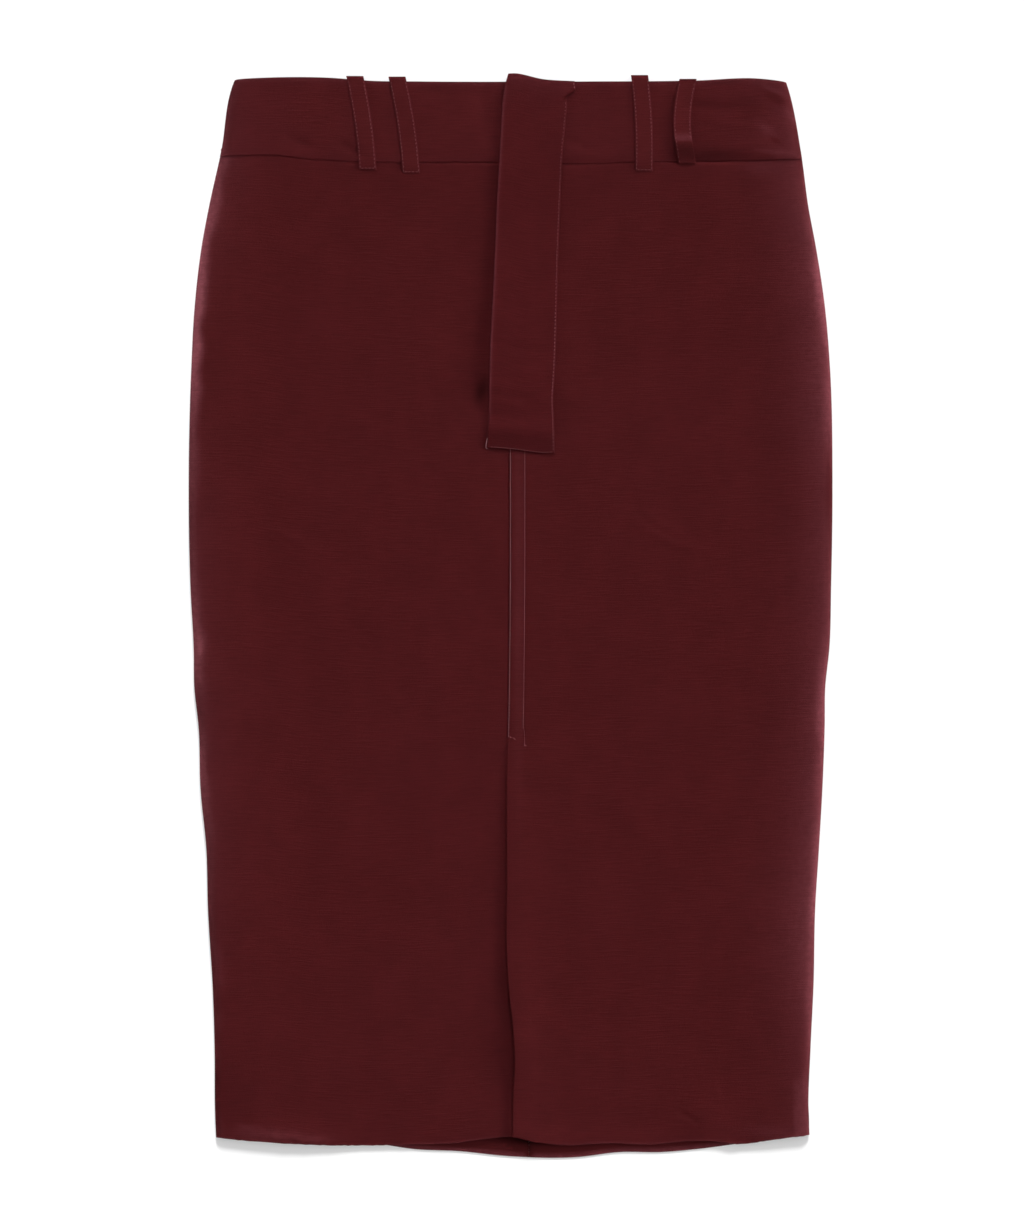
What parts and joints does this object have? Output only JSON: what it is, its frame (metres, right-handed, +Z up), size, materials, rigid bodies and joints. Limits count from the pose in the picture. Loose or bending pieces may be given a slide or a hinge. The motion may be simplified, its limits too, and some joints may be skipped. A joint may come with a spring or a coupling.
{
  "type": "pencil skirt",
  "caption": "Knee-length pencil skirt laid flat, with a waistband, belt loops, a long tab over the fly and a lapped vent at the centre front.",
  "frame": {"origin": "middle of the laid-out skirt's outline, on the surface that it lies on", "axes": "+Z up out of the front, +Y from the hem to the waist, +X to the right of the front as seen from above"},
  "size_m": [0.4636, 0.78, 0.0094],
  "materials": {
    "panel_cloth": "matt burgundy weave with fine crosswise slubs",
    "waistband_cloth": "the same burgundy weave, double and pressed",
    "tab_cloth": "the same burgundy weave, double, with topstitched edges",
    "loop_cloth": "the same burgundy weave, narrow strips with topstitched edges"
  },
  "bodies": {
    "root": {"front_left": "panel_cloth", "front_right": "panel_cloth", "back_left": "panel_cloth", "back_right": "panel_cloth", "waistband_front_left": "waistband_cloth", "waistband_front_right": "waistband_cloth", "waistband_back": "waistband_cloth", "fly_tab": "tab_cloth", "belt_loop_1": "loop_cloth", "belt_loop_2": "loop_cloth", "belt_loop_3": "loop_cloth", "belt_loop_4": "loop_cloth"}
  },
  "joints": []
}
